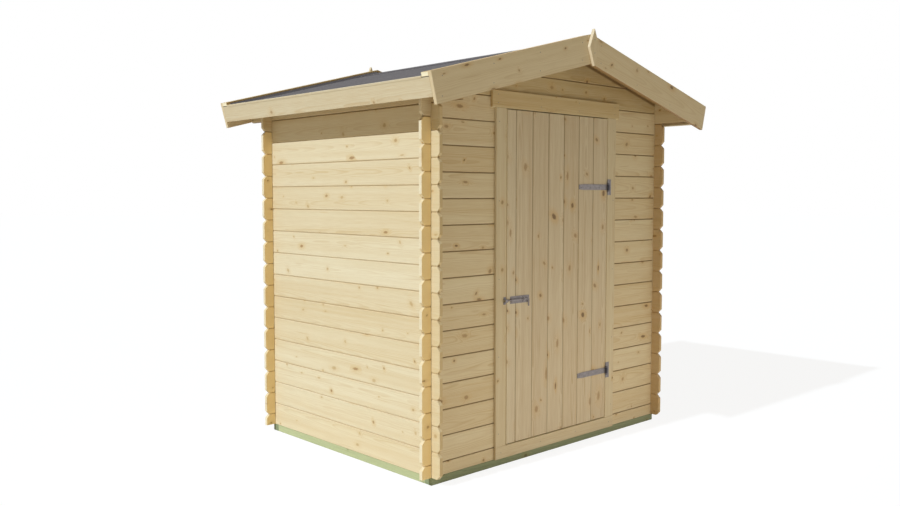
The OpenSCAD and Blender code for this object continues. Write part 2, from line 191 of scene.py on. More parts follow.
def paint(red, green, blue):
    """A colour as a picture editor shows it, as Blender's linear colour."""
    shares = (red / full_level, green / full_level, blue / full_level)
    return (*(s / curve_slope if s < curve_knee else ((s + curve_lift) / (1 + curve_lift)) ** curve_power
              for s in shares), 1)


def blend(below, above, share):
    """Lay one colour over another by a share that may change over the surface."""
    return Wire.make(share.tree, "Mix", {"data_type": "RGBA"},
                     {"Factor": share, below_input: below, above_input: above}, colour_output)


def new_material(name):
    """A material and its tree, which has no nodes yet."""
    material = bpy.data.materials.new(name)
    material.use_nodes = True
    material.node_tree.nodes.clear()
    return material, material.node_tree


def show(tree, skin):
    """Make a shader the surface of its material."""
    Wire.make(tree, "OutputMaterial", None, {"Surface": skin})


print("mid grey is", round(paint(128, 128, 128)[0], 3), "in light")

# %% [markdown]
# ## Sky
#
# The shed stands on white, in clear light from its left, so the left wall is bright and the front,
# which the light only passes along, lies in soft shade. The sky fills that shade. A white world would do it,
# but white enough for the background it would wash out the wood. So the white is only what the eye, metal
# and glass see, and the light on the wood comes from a dimmer and warmer sky.

# %% Fill the shade from the sky
fill_tint = (1.0, 0.88, 0.62, 1)
fill_level = 0.22


def seen_directly(tree):
    """1 for rays from the eye, off metal or through glass, and 0 for the rest."""
    eye = Wire.make(tree, "LightPath", output="Is Camera Ray")
    shine = eye.other("Is Glossy Ray").math("MAXIMUM", eye.other("Is Transmission Ray"))
    return eye.math("MAXIMUM", shine)


world = bpy.data.worlds.new("sky")
world.use_nodes = True
sky = world.node_tree
sky.nodes.clear()
fill = Wire.make(sky, "Background", None, {"Color": fill_tint, "Strength": fill_level})
backdrop = Wire.make(sky, "Background", None, {"Color": white, "Strength": 1.0})
shown = Wire.make(sky, "MixShader", None, {0: seen_directly(sky), 1: fill, 2: backdrop})
Wire.make(sky, "OutputWorld", None, {"Surface": shown})
scene.world = world
print(f"sky fill at {fill_level}")

# %% [markdown]
# ## Sun
#
# One sun lamp gives the bright left wall and the shadow of the eaves on it. A near lamp would fade over the
# length of the wall, which real daylight doesn't. Its level is plain, so that a colour renders about as it
# is written, and it is a little blue against the warm sky.

# %% Let the sun in from the left
to_sun = Vector((-0.806, 0.03, 0.607))
sun_level = 3.28
sun_tint = (0.785, 0.895, 1.0)
sun_width = math.radians(1.2)

sun = bpy.data.objects.new("sun", bpy.data.lights.new("sun", "SUN"))
sun.rotation_euler = to_sun.to_track_quat("Z", "Y").to_euler()
sun.data.energy = sun_level
sun.data.color = sun_tint
sun.data.angle = sun_width
scene.collection.objects.link(sun)
print(f"sun {math.degrees(math.asin(to_sun.normalized().z)):.0f} degrees high")

# %% [markdown]
# ## Low reflector
#
# The foot of a front wall gets back some light from the ground before it. A brighter floor would lift
# the whole shed, so one long low lamp stands in for that light. The eye and the metal don't see it.

# %% Lift the foot of the front
reflector_at = Vector((0.0, -2.05, 0.2))
reflector_aim = Vector((-0.2, -0.67, 0.2))
reflector_size = (2.6, 0.34)
reflector_watts = 7.3
reflector_tint = (1.0, 0.95, 0.88)

reflector = bpy.data.objects.new("reflector", bpy.data.lights.new("reflector", "AREA"))
reflector.location = reflector_at
reflector.rotation_euler = (reflector_at - reflector_aim).to_track_quat("Z", "Y").to_euler()
reflector.data.shape = "RECTANGLE"
reflector.data.size, reflector.data.size_y = reflector_size
reflector.data.energy = reflector_watts
reflector.data.color = reflector_tint
reflector.visible_camera = False
reflector.visible_glossy = False
scene.collection.objects.link(reflector)
print(f"reflector of {reflector_watts} W, {(reflector_at - reflector_aim).length:.1f} m from the door")

# %% [markdown]
# ## Floor
#
# The floor is a plain pale disc that runs out of sight. To the wood it is a cream floor that sends light up.
# To the eye it glows almost white by itself, with just enough plain surface left to take a faint shadow.

# %% Lay the floor
floor_radius = 60
floor_segments = 96
floor_drop = 0.0004
floor_colour = paint(240, 230, 208)
floor_shown = 0.15
floor_glow = 0.89

disc = bmesh.new()
bmesh.ops.create_circle(disc, cap_ends=True, radius=floor_radius, segments=floor_segments)
floor = bpy.data.objects.new("floor", bpy.data.meshes.new("floor"))
disc.to_mesh(floor.data)
disc.free()
floor.location.z = -floor_drop
scene.collection.objects.link(floor)

ground, tree = new_material("pale_floor")
pale = Wire.make(tree, "BsdfDiffuse", None, {"Color": floor_colour})
shade = Wire.make(tree, "BsdfDiffuse", None, {"Color": (floor_shown, floor_shown, floor_shown, 1)})
glow = Wire.make(tree, "Emission", None, {"Color": white, "Strength": floor_glow})
bright = Wire.make(tree, "AddShader", None, {0: shade, 1: glow})
show(tree, Wire.make(tree, "MixShader", None, {0: seen_directly(tree), 1: pale, 2: bright}))
floor.data.materials.append(ground)
print(f"white floor, {floor_radius} m to its edge")

# %% [markdown]
# ## Directions on the shed
#
# Grain runs along a board, so every finish has to know how its board lies. Turning each pattern by hand
# would be slow and easy to get wrong. Four directions and the pitch of the roof say it once for all steps.

# %% Name the directions
RIGHT = Vector((1, 0, 0))
BACK = Vector((0, 1, 0))
UP = Vector((0, 0, 1))
FRONT = -BACK
pitch = math.radians(14.75)
roof_sides = (("left", -1), ("right", 1))


def slope(way):
    """Down the slope and square to it, on the left (-1) or the right (1)."""
    down = Vector((way * math.cos(pitch), 0, -math.sin(pitch)))
    square = Vector((way * math.sin(pitch), 0, math.cos(pitch)))
    return down, square


print(f"the roof falls {math.tan(pitch):.3f} m in a metre")

# %% [markdown]
# ## Planed pine
#
# The logs, boards and trims are planed, unpainted softwood: pale cream, with faint growth rings, soft streaks
# along the grain and brown knots, each in a small halo where the grain runs round it.
# A flat picture of wood would repeat, and would show face grain on the sawn ends. So each board is cut
# from its own imagined trunk: the pattern is worked out from the distance to the heart of that trunk,
# in the round, and arches, straight grain and end rings all follow from it.

# %% Give every point its place on its own board
Board = namedtuple("Board", "length side depth number turned seam")
seam_width = 0.0045
seam_core = seam_width / 3


def lay_out(tree, node, along, across, width=None, start=0.0, seed=0):
    """Length, side and depth of a point on its board, and the number of that board.

    Without a width the node is one board. Otherwise boards of that width are counted from start.
    """
    low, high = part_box(node)
    middle = (low + high) / 2
    face = along.cross(across)
    place = Wire.make(tree, "TexCoord", output="Object")
    turned = place.other("Normal").dot(along).math("ABSOLUTE")
    length = place.dot(along)
    depth = place.dot(face) - middle.dot(face)
    side = place.dot(across)
    if width is None:
        return Board(length, side - middle.dot(across), depth, float(seed), turned, None)
    number = ((side - start) / width).math("FLOOR")
    off_middle = side - start - (number + 0.5) * width
    seam = off_middle.math("ABSOLUTE").rise(width / 2 - seam_width, width / 2 - seam_core)
    return Board(length, off_middle, depth, number + seed, turned, seam)


print(f"joints between boards {2 * seam_width * 1000:.0f} mm wide")

# %% [markdown]
# ## Chance in the wood
#
# No two boards are alike, and within a board the colour drifts. Painting that by hand would take a picture
# for each board. Two kinds of chance do it here: draws that hold over one whole board, taken from its number,
# and soft noise, which is stretched along the grain later. Both come out the same at each run.

# %% Draws and soft noise
def draws(tree, number):
    """Three random shares that hold over one whole board."""
    return Wire.make(tree, "TexWhiteNoise", {"noise_dimensions": "1D"}, {"W": number}, "Color").parts()


def mottle(tree, x, y, z, detail=2.0):
    """Soft noise about zero at a place given by three sums."""
    place = Wire.make(tree, "CombineXYZ", None, {0: x, 1: y, 2: z})
    return Wire.make(tree, "TexNoise", None, {"Vector": place, "Scale": 1.0, "Detail": detail}) - 0.5


def drawn_out(tree, board, waves, third, detail):
    """Noise with so many waves in a metre along and across the board."""
    along, across = waves
    return mottle(tree, board.length * along, board.side * across, third, detail)


print("three draws to a board, and noise that follows its grain")

# %% [markdown]
# ## Where the knots are
#
# A knot is a branch cut across. Branches grow in whorls, so along a board knots come every hand or two,
# most of them small and a few drawn out where the saw ran along the branch. Points could be strewn by hand,
# but a Voronoi pattern of stretches of board gives each stretch a middle and three draws of its own:
# they decide whether there is a knot, how large it is and how long.

# %% Strew the knots
knot_step = 0.16
knot_row = 0.115
knot_small = 0.0042
knot_large = 0.0125
knot_share = 0.62
knot_draw = 0.31
knot_shift = 57
row_shift = 5.37
knot_scatter = 0.9
small_power = 1.5
no_knot = 1e-5
knot_slant = 0.9
least_run = 0.95
extra_run = 1.4
run_power = 3
most_rise = 1.1
less_rise = 0.4
ragged_waves = 150
ragged_share = 0.75


def strew_knots(tree, board, plenty, size):
    """How many knot radii a point is from its knot, that radius, and the draw that put the knot there."""
    shift = draws(tree, board.number + knot_draw)[0]
    u = board.length / knot_step + shift * knot_shift
    v = board.side / knot_row + board.number * row_shift
    cell = Wire.make(tree, "CombineXYZ", None, {0: u, 1: v})
    middle = Wire.make(tree, "TexVoronoi", {"voronoi_dimensions": "2D"},
                       {"Vector": cell, "Scale": 1.0, "Randomness": knot_scatter}, "Position")
    luck, stretch, there = middle.other("Color").parts()
    at_u, at_v, _ = middle.parts()
    radius = knot_small + (luck ** small_power) * (knot_large - knot_small)
    reach = (there < plenty) * size * radius + no_knot
    lean = (stretch - 0.5) * knot_slant
    run = (at_u - u) * knot_step + (at_v - v) * knot_row * lean
    run = run / (least_run + stretch ** run_power * extra_run)
    rise = (at_v - v) * knot_row / (most_rise - stretch * less_rise)
    ragged = mottle(tree, board.length * ragged_waves, board.side * ragged_waves, board.number)
    far = (run * run + rise * rise).math("SQRT") / reach + ragged * ragged_share
    return far, reach, there


print(f"a knot in {knot_share:.0%} of the stretches of {knot_step} m")

# %% [markdown]
# ## What a knot looks like
#
# Live knots are tan and grown into the wood, dead ones dark with a sharp rim. Round both the grain swells
# out and darkens to a halo. All of it can be read from one value, the distance in knot radii,
# so each part is a smooth step of that distance. The draw that put the knot there also says how dead it is.

# %% Core, rim and halo of a knot
Knots = namedtuple("Knots", "core rim halo lift dead")
core_step = (1.2, 0.45)
rim_step = (0.4, 0.85)
halo_step = (3.8, 0.7)
dead_step = (0.35, 0.95)
lift_fall = -0.28


def knots(tree, board, plenty, size):
    """The knots of a board: core, dark rim, halo, how far they push the grain and how dead they are."""
    far, reach, there = strew_knots(tree, board, plenty, size)
    core = far.rise(*core_step)
    rim = far.rise(*rim_step) * core
    halo = far.rise(*halo_step)
    lift = (far * far * lift_fall).math("EXPONENT") * reach
    dead = (there / plenty).rise(*dead_step)
    return Knots(core, rim, halo, lift, dead)


print(f"halos fade out at {halo_step[0]} knot radii")

# %% [markdown]
# ## Rings, streaks and fibres
#
# A year's ring is pale early wood that darkens to a thin line of late wood. Rings are shells round the heart
# of the trunk, so the distance to that heart, cut into ring widths, gives arches on a face and
# rounds on an end. The heart lies behind the board, leans a little and wanders, and knots push the
# rings aside. Streaks, fibres and resin are noise drawn out along the board.

# %% Grain of a board
Grain = namedtuple("Grain", "late streak fibre resin")
ring_width = 0.0042
heart_depth = 0.03
heart_spread = 0.11
trunk_lean = 0.05
trunk_draw = 0.57
wander_waves = 1.1
wander_apart = 3.1
wander_wide = 0.03
ripple_waves = (5.5, 9)
ripple_wide = 0.006
knot_push = 1.6
late_start = (0.35, 0.9)
late_stop = (1.0, 0.93)
streak_waves = (0.9, 38)
fibre_waves = (11, 330)
resin_waves = (4.5, 95)
resin_apart = 1.7
resin_deep = 30
resin_step = (0.19, 0.3)


def grain(tree, board, lift):
    """Late wood of the growth rings, broad streaks, fine fibres and resin of a board."""
    sideways, deep, lean = draws(tree, board.number + trunk_draw)
    wander = mottle(tree, board.length * wander_waves, board.number * wander_apart, 0.0, detail=1.0)
    ripple = drawn_out(tree, board, ripple_waves, board.number, detail=1.0)
    across = board.side + (sideways - 0.5) * heart_spread + wander * wander_wide
    down = board.depth + heart_depth * (1 + deep) + (lean - 0.5) * trunk_lean * board.length
    radius = (across * across + down * down).math("SQRT") + lift * knot_push + ripple * ripple_wide
    year = (radius / ring_width).math("FRACT")
    late = year.rise(*late_start) * year.rise(*late_stop)
    streak = drawn_out(tree, board, streak_waves, board.number + board.depth * streak_waves[1], detail=3.0)
    fibre = drawn_out(tree, board, fibre_waves, board.depth * fibre_waves[1], detail=2.0)
    resin_place = board.number * resin_apart + board.depth * resin_deep
    resin = drawn_out(tree, board, resin_waves, resin_place, detail=1.0)
    return Grain(late, streak, fibre, resin.rise(*resin_step))


print(f"growth rings {ring_width * 1000:.1f} mm wide")

# %% [markdown]
# ## Colour of clear wood
#
# Between its knots pine goes from cream to a warmer straw, board by board and streak by streak, with the late
# wood, fibres and resin a shade darker. One ramp of colours would tie them together.
# Laid one over another they can each be set apart, and a set of tones then makes another kind of board.

# %% Stain the clear wood
Tones = namedtuple("Tones", "pale warm late halo live knot end seam")
pine_tones = Tones(
    pale=paint(225, 210, 179), warm=paint(213, 190, 149), late=paint(189, 156, 108),
    halo=paint(203, 165, 108), live=paint(148, 106, 58), knot=paint(92, 60, 32),
    end=paint(200, 170, 120), seam=paint(112, 82, 48))
hue_draw = 0.83
least_warm = 0.06
board_warm = 0.5
streak_warm = 1.3
ring_dark = 0.3
streak_dark = 0.7
board_dark = 0.2
fibre_dark = 0.7
resin_dark = 0.4


def stain_clear(tree, board, figure, tones):
    """Colour of the wood between the knots."""
    hue, light, _ = draws(tree, board.number + hue_draw)
    warmth = least_warm + hue * board_warm + figure.streak * streak_warm
    colour = blend(tones.pale, tones.warm, warmth.positive())
    colour = blend(colour, tones.late, figure.late * (ring_dark + figure.streak * streak_dark))
    colour = blend(colour, tones.late, (light * board_dark + figure.fibre * fibre_dark).positive())
    return blend(colour, tones.late, figure.resin * resin_dark)


print(f"{len(pine_tones)} tones to a kind of wood")

# %% [markdown]
# ## Colour of the knots
#
# The halo is a warm tint, faint round a live knot and stronger round a dead one. The core goes from tan
# to dark brown, and only a dead knot has its rim, the bark that dried around the branch.

# %% Stain the knots
halo_live = 0.22
halo_dead = 0.3
core_live = 0.55
core_dead = 0.2
rim_dead = 0.2


def stain_knots(colour, knot, tones):
    """Lay halo, core and rim of the knots over the clear wood."""
    colour = blend(colour, tones.halo, knot.halo * (halo_live + knot.dead * halo_dead))
    heart = blend(tones.live, tones.knot, knot.dead)
    cover = knot.core * (core_live + knot.dead * core_dead) + knot.rim * knot.dead * rim_dead
    return blend(colour, heart, cover)


print(f"the core of a dead knot hides {core_live + core_dead:.0%} of the wood under it")

# %% [markdown]
# ## Painted light on the log ends
#
# The ends that stand past the corners get painted light: a bright tan for light bounced off the sunlit wall
# beside them, and a deeper tan for shade at the corners away from the sun.
# A second material for them would need a cut in each log, so the tan is laid over by length.
# It stops at the top of the wall, and where `sides` is set it leaves the end grain pale.

# %% Find the painted light on the ends
PaintedEndLight = namedtuple("PaintedEndLight", "reach first last share count sides")
end_light_soft = 0.003
end_light_joints = 0.8
side_step = (0.9, 0.5)


def painted_end_shares(board, tan, seed):
    """Shares of painted end light on the first and the last end of a log: bounced sunlight in a bright tone,
    shade in a dark one.
    """
    below = board.number < seed + tan.count
    if tan.sides:
        below = below * board.turned.rise(*side_step)
    # Painted light on the log ends past the corners, faded in by length.
    first = board.length.rise(-tan.reach, -tan.reach - end_light_soft) * below * tan.share
    last = board.length.rise(tan.reach, tan.reach + end_light_soft) * below * tan.share
    return first, last


print(f"tan fades in over {end_light_soft * 1000:.0f} mm")

# %% [markdown]
# ## Painted shadow, painted light and painted edge shade
#
# Under the slopes of the roof a painted shadow runs along the gable logs. Faces in the gaps round the door
# and the lower ends of the battens get painted light, paler than planed faces, and the edges of the barge
# boards get painted shade.
# A mask from the place or the facing of a point finds each of them, with no faces picked by hand.

# %% Find the painted shadow and the facing
# Painted shadow in a band under the roof slopes.
roof_shadow_step = (0.018, 0.009)
roof_shadow_dark = 0.75
# Painted light for faces in gaps and on ends.
sawn_pale = paint(246, 232, 200)
sawn_step = (0.9, 0.98)
# Painted shade on edges.
rubbed_step = (0.25, 0.6)
rubbed_dark = 0.8


def painted_roof_shadow(tree, peak):
    """How deep a point lies in the painted shadow under the two slopes."""
    x, _, z = Wire.make(tree, "TexCoord", output="Object").parts()
    clear = peak - x.math("ABSOLUTE") * math.tan(pitch) - z
    return clear.rise(*roof_shadow_step) * roof_shadow_dark


def facing(tree, way):
    """1 where a point faces that way squarely."""
    return Wire.make(tree, "TexCoord", output="Normal").dot(way)


print(f"gap under the roof fades out {roof_shadow_step[0] * 1000:.0f} mm below it")

# %% [markdown]
# ## Surface of a planed board
#
# A plane leaves fibres standing by a fraction of a millimetre, and hard late wood and knots smoother.
# Modelled, that would be millions of faces. A Bump node turns the light as if they were there.

# %% Finish a planed surface
pine_rough = 0.62
fibre_rough = 0.25
ring_smooth = 0.08
knot_smooth = 0.12
grain_height = 0.0005
grain_strength = 0.35
fibre_high = 0.6
ring_low = 0.25
rim_low = 0.5
pine_shine = 0.3


def plane(tree, colour, figure, knot):
    """The skin of a planed board."""
    rough = pine_rough + figure.fibre * fibre_rough - figure.late * ring_smooth - knot.core * knot_smooth
    height = figure.fibre * fibre_high - figure.late * ring_low - knot.rim * rim_low
    bump = Wire.make(tree, "Bump", None,
                     {"Strength": grain_strength, "Distance": grain_height, "Height": height})
    skin = {"Base Color": colour, "Roughness": rough, "Normal": bump, "Specular IOR Level": pine_shine}
    show(tree, Wire.make(tree, "BsdfPrincipled", None, skin))


print(f"fibres stand up to {grain_height * 1000} mm")

# %% [markdown]
# ## A finish for each wooden piece
#
# Now the steps come together. Each wooden piece gets a material of its own, because its boards lie in
# their own direction and are counted from their own foot. The seed keeps the board numbers of two pieces
# apart, so that no grain is seen twice: it is counted up by a step for each piece.

# %% Dress a wooden piece
end_step = (0.6, 0.95)
end_share = 0.35
seed_step = 40
wooden = []


def wood(node, slot, tones, seed, plenty=knot_share, size=1.0, gap=0.5, tan=None, sawn=(), rubbed=(),
         peak=None, board=None, **layout):
    """The finish of one wooden node.

    plenty and size are of its knots, gap is how dark its joints are, and tan lays painted light on both ends,
    bright for bounced sunlight and dark for shade.
    The two lists of ways give the faces that get painted light, paler against the shade in gaps and on ends,
    and those whose edges get painted shade.
    peak is the height of the roof over the middle, and a painted shadow runs along under its slopes.
    board lays out a node whose boards run in more than one way, and layout any other.
    """
    material, tree = new_material(f"{slot}_{node}")
    board = board(tree, seed) if board else lay_out(tree, node, seed=seed, **layout)
    knot = knots(tree, board, plenty, size)
    figure = grain(tree, board, knot.lift)
    colour = stain_clear(tree, board, figure, tones)
    # Painted light on the log ends, with paler joints there: bounced sunlight in bright tones, shade in dark
    # ones.
    if tan:
        first, last = painted_end_shares(board, tan, seed)
        colour = blend(blend(colour, tan.first, first), tan.last, last)
        gap = gap - (first + last) * gap * end_light_joints
    colour = stain_knots(colour, knot, tones)
    colour = blend(colour, tones.end, board.turned.rise(*end_step) * end_share)
    if board.seam:
        colour = blend(colour, tones.seam, board.seam * gap)
    # Painted shadow in a band under the roof slopes, in the joint colour.
    if peak:
        colour = blend(colour, tones.seam, painted_roof_shadow(tree, peak))
    # Painted light on faces in gaps and on ends.
    for way in sawn:
        colour = blend(colour, sawn_pale, facing(tree, way).rise(*sawn_step))
    # Painted shade on the edges of the barge boards.
    for way in rubbed:
        colour = blend(colour, tones.live, facing(tree, way).rise(*rubbed_step) * rubbed_dark)
    plane(tree, colour, figure, knot)
    return material


def dress(node, material):
    """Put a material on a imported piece."""
    for slot in nodes[node].material_slots:
        slot.material = material


def dress_wood(node, slot, tones, **finish):
    """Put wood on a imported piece, with the next seed."""
    wooden.append(node)
    dress(node, wood(node, slot, tones, seed_step * len(wooden), **finish))


print(f"board numbers start {seed_step} apart")

# %% [markdown]
# ## The log walls
#
# Side logs start on the bearers. Front and rear logs start half a log higher, which locks the corners.
# Every log shows its own grain, so the board number is counted in whole log heights from the foot
# of its wall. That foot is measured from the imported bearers, so it follows when they change.

# %% Measure the log walls
log_height = 0.121
log_end = 0.056
log_play = 0.0002
roof_board_thick = 0.018
roof_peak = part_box("left_roof_boards")[1].z - roof_board_thick / math.cos(pitch)
side_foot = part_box("left_bearer")[1].z + log_play
front_foot = side_foot + log_height / 2
side_lay = dict(along=BACK, across=UP, width=log_height, start=side_foot)
front_lay = dict(along=RIGHT, across=UP, width=log_height, start=front_foot)
print(f"side logs from {side_foot:.3f} m, front logs from {front_foot:.4f} m")

# %% [markdown]
# ## Side walls and eave purlins
#
# The top side logs run on to the barge boards and carry the eaves. They lie right under the roof, and their
# lower joint gets painted shade, the darkest of all. Knots and joints are paler on the side walls than on the
# front, a painted lit copy of the pine for the sunny wall, and on the right, away from the sun, the log ends
# get a deeper tan as painted shade.
# Other tones on the same pattern do it.

# %% Dress the side walls
# A painted lit copy of the pine for the sunny wall, with paler knots and joints; the right wall shares it.
side_tones = pine_tones._replace(
    late=paint(199, 169, 122), halo=paint(205, 172, 118), live=paint(182, 145, 90),
    knot=paint(146, 104, 56), seam=paint(168, 132, 78))
# Painted shade: the lower joint of the eave purlins is darkest, under the roof.
eave_shade_tones = side_tones._replace(seam=paint(120, 88, 50))
side_knots = 0.5
# Painted light: the joints of the side walls are paler than those of the front.
side_gap = 0.24
eave_joint_shade = 0.9
# Painted light on the side log ends: bounced sunlight on the left wall, painted shade on the right.
side_painted_bounce = PaintedEndLight(
    reach=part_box("left_wall_logs")[1].y - log_end, first=paint(205, 181, 134), last=paint(205, 181, 134),
    share=0.4, count=13.5, sides=False)
side_painted_shade = side_painted_bounce._replace(first=paint(184, 145, 92), last=paint(184, 145, 92), share=0.55)

for piece, tones, gap in (("wall_logs", side_tones, side_gap), ("eave_purlin", eave_shade_tones, eave_joint_shade)):
    for side, tan in (("left", side_painted_bounce), ("right", side_painted_shade)):
        dress_wood(f"{side}_{piece}", "log_pine", tones, plenty=side_knots, gap=gap, tan=tan, **side_lay)
print(f"side log ends tan from {side_painted_bounce.reach:.3f} m")

# %% [markdown]
# ## Front and rear walls
#
# The front is in the shade, where joints read dark and knots brown. Its log ends have pale end grain as
# painted sunlight, and painted light on their faces: a bright tan for bounced sunlight at the sunny corner, a
# darker one for shade at the other. The gable logs get painted shade, darker as a whole, and a painted shadow
# runs along under the slopes.

# %% Dress the front and rear walls
# Painted sunlight: the end grain of the front and rear logs is pale, as on the sunny ends.
front_tones = pine_tones._replace(end=paint(244, 233, 208))
# Painted shade: the gable logs are darker as a whole, under the barge boards.
gable_shade_tones = pine_tones._replace(
    pale=paint(207, 188, 148), warm=paint(196, 170, 123), late=paint(172, 138, 88))
front_gap = 0.62
# Painted light on the front and rear log ends: bounced sunlight at the left end, shade at the right.
front_painted_ends = PaintedEndLight(
    reach=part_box("rear_wall_logs")[1].x - log_end, first=paint(252, 222, 162), last=paint(208, 172, 116),
    share=0.82, count=12.5, sides=True)

for node in ("front_logs_left", "front_logs_right", "front_sill_log", "rear_wall_logs"):
    dress_wood(node, "log_pine", front_tones, gap=front_gap, tan=front_painted_ends, **front_lay)
for node in ("front_gable_logs", "rear_gable_logs"):
    dress_wood(node, "log_pine", gable_shade_tones, gap=front_gap, tan=front_painted_ends, peak=roof_peak, **front_lay)
print(f"gable logs end under the roof at {roof_peak:.3f} m")

# %% [markdown]
# ## Roof timber and trims
#
# The roof boards run down the slope under the felt. Fascias, barge boards, battens and finials close
# the edges. Their grain follows the length of each board, so on the slopes it is tilted by the pitch.
# The underside of the right slope lies deep in the shade, and its boards get painted shade: darker tones.

# %% Dress the roof timber
roof_board_count = 14
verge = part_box("left_roof_boards")[1].y
roof_lay = dict(across=BACK, width=2 * verge / roof_board_count, start=-verge)
roof_tones = pine_tones._replace(pale=paint(208, 186, 146), warm=paint(196, 166, 118))
# Painted shade: darker tones for the underside of the right slope.
right_slope_shade_tones = pine_tones._replace(pale=paint(150, 126, 88), warm=paint(138, 110, 70))
trim_tones = pine_tones._replace(pale=paint(218, 204, 175), warm=paint(206, 187, 154))
# Painted light: the battens' tones are brighter and warmer, standing in for light on their shaded inner
# faces.
batten_tones = pine_tones._replace(pale=paint(232, 204, 150), warm=paint(222, 186, 122))
barge_tones = pine_tones._replace(
    pale=paint(231, 214, 184), warm=paint(218, 198, 163), late=paint(199, 171, 128))
finial_knots = 0.02

for side, way in roof_sides:
    down, square = slope(way)
    tones = roof_tones if side == "left" else right_slope_shade_tones
    dress_wood(f"{side}_roof_boards", "roof_pine", tones, along=down, **roof_lay)
    dress_wood(f"{side}_fascia", "trim_pine", trim_tones, along=BACK, across=square)
    for end in ("front", "rear"):
        # Painted shade on the top and bottom edges of the barge boards.
        dress_wood(f"{end}_{side}_barge", "trim_pine", barge_tones, rubbed=[square, -square],
                   along=down, across=square)
        # Painted light on the lower ends of the battens.
        dress_wood(f"{end}_{side}_batten", "trim_pine", batten_tones, sawn=[down],
                   along=down, across=BACK)
for end in ("front", "rear"):
    dress_wood(f"{end}_finial", "trim_pine", barge_tones, plenty=finial_knots, along=UP, across=RIGHT)
dress_wood("ridge_purlin", "roof_pine", roof_tones, along=BACK, across=UP)
print(f"{roof_board_count} boards on each slope")

# %% [markdown]
# ## The door leaf
#
# The leaf is a row of upright tongued boards with a vee at each joint, counted from the hinge edge.
# Its knots are larger than those of the logs, and its edges get painted light against the shade in the gaps
# round it.

# %% Dress the door leaf
leaf_low, leaf_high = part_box("door_leaf")
leaf_board = 0.121
leaf_knots = 1.45
leaf_gap = 0.3
door_tones = pine_tones._replace(
    pale=paint(220, 206, 181), warm=paint(202, 182, 152), late=paint(176, 144, 102))

# Painted light on the edges of the leaf, against the shade in the gaps.
dress_wood("door_leaf", "door_pine", door_tones, size=leaf_knots, gap=leaf_gap,
           sawn=[RIGHT, -RIGHT, UP, -UP], along=UP, across=-RIGHT, width=leaf_board, start=-leaf_high.x)
print(f"leaf {leaf_high.x - leaf_low.x:.3f} m wide, {leaf_high.z - leaf_low.z:.3f} m high")

# %% [markdown]
# ## Ledges and braces
#
# Behind the leaf two braces slant between three ledges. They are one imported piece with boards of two
# directions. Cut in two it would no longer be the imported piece. So both ways are laid out on it, and the
# height of a point says which one holds: on a ledge the level one, and between the ledges the slant.

# %% Dress the ledges and braces
ledge_height = 0.095
ledge_low, ledge_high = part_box("door_ledges")
ledge_middle = (ledge_low.z + ledge_high.z) / 2
ledge_levels = [ledge_low.z + ledge_height / 2, ledge_middle, ledge_high.z - ledge_height / 2]
ledge_soft = 0.0004
brace_inset = 0.12
brace_rise = ledge_levels[1] - ledge_levels[0] - ledge_height
brace_along = Vector((ledge_low.x - ledge_high.x + brace_inset, 0, brace_rise)).normalized()
brace_seed = seed_step // 2


def ledge_board(tree, seed):
    """Ledges run across the leaf; what lies between their levels is brace and runs on the slant."""
    ledge = lay_out(tree, "door_ledges", RIGHT, UP, 2 * ledge_height, ledge_low.z, seed)
    brace = lay_out(tree, "door_ledges", brace_along, BACK.cross(brace_along), seed=seed + brace_seed)
    height = Wire.make(tree, "TexCoord", output="Object").dot(UP)
    slant = 1.0
    for level in ledge_levels:
        off_level = (height - level).math("ABSOLUTE")
        slant = off_level.rise(ledge_height / 2, ledge_height / 2 + ledge_soft) * slant
    mixed = [a + (b - a) * slant for a, b in zip(ledge[:-1], brace[:-1])]
    return Board(*mixed, None)


dress_wood("door_ledges", "door_pine", door_tones, board=ledge_board)
print(f"{len(ledge_levels)} ledges, braces rise {brace_rise:.3f} m between them")

# %% [markdown]
# ## The door frame
#
# Posts, head and sill board frame the opening. Their inner sides get painted light, paler against the shade
# in the gaps round the leaf. The head lies in the shade of the roof and gets painted shade, a tone darker
# than the rest.

# %% Dress the door frame
# Painted shade: the head is a tone darker, in the shade of the roof.
head_shade_tones = pine_tones._replace(pale=paint(211, 190, 148), warm=paint(198, 171, 125))

# Painted light on the inner sides of the frame, in the gaps round the leaf.
for node, inner in (("left_door_post", RIGHT), ("right_door_post", -RIGHT)):
    dress_wood(node, "trim_pine", trim_tones, sawn=[inner], along=UP, across=RIGHT)
for node, inner, tones in (("door_head", -UP, head_shade_tones), ("door_sill_board", UP, trim_tones)):
    dress_wood(node, "trim_pine", tones, sawn=[inner], along=RIGHT, across=UP)
print(f"{len(wooden)} wooden pieces so far")

# %% [markdown]
# ## The bearers
#
# The shed rests on four bearers of pressure treated softwood. The salts turn the wood a greyish green
# that is patchy along the grain, so the pine pattern is kept and only its tones change.
# The front and rear ones lie in the shade and get darker tones as painted shade.

# %% Dress the bearers
treated_tones = Tones(
    pale=paint(186, 190, 146), warm=paint(170, 174, 130), late=paint(146, 150, 108),
    halo=paint(140, 136, 88), live=paint(112, 104, 62), knot=paint(92, 80, 46),
    end=paint(120, 134, 92), seam=paint(84, 92, 58))
# Painted shade: darker tones for the front and rear bearers.
bearer_shade_tones = treated_tones._replace(
    pale=paint(146, 154, 122), warm=paint(130, 139, 107), late=paint(108, 116, 86))
bearer_knots = 0.3

for node in ("front_bearer", "rear_bearer"):
    dress_wood(node, "treated_wood", bearer_shade_tones, plenty=bearer_knots, along=RIGHT, across=UP)
for node in ("left_bearer", "right_bearer"):
    dress_wood(node, "treated_wood", treated_tones, plenty=bearer_knots, along=BACK, across=UP)
print(f"{len(wooden)} wooden pieces with the bearers")

